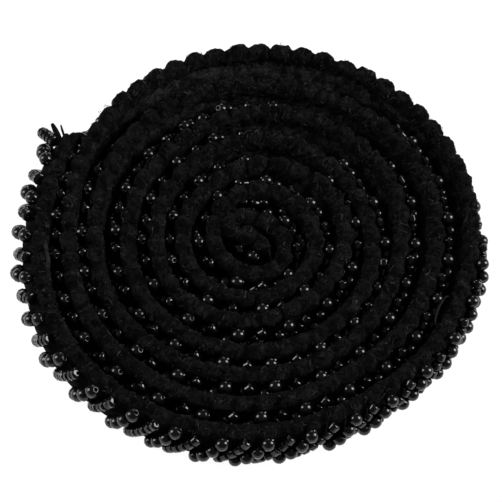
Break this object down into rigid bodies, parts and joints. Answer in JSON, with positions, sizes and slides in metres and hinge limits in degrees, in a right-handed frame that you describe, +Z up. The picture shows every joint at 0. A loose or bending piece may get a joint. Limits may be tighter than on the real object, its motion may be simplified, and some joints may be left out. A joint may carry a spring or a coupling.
{
  "type": "roll of pearl trim",
  "caption": "Narrow black braid trim with slanting rows of pearl and seed beads sewn on its outer face, wound on edge into a flat spiral roll.",
  "frame": {"origin": "middle of the roll's bounding box seen from above, on the ground under it", "axes": "+Z up out of the flat spiral, along the strip's width from its plain lower edge to its scalloped edge; +X to the right and -Y towards the viewer, with the strip's free end at the left, on the -X side"},
  "size_m": [0.1076, 0.108, 0.0105],
  "materials": {
    "black_yarn": "matt, fuzzy braided yarn",
    "black_pearl": "glossy black beads"
  },
  "bodies": {
    "root": {"braid_strip": "black_yarn", "bead_rows": "black_pearl"}
  },
  "joints": []
}
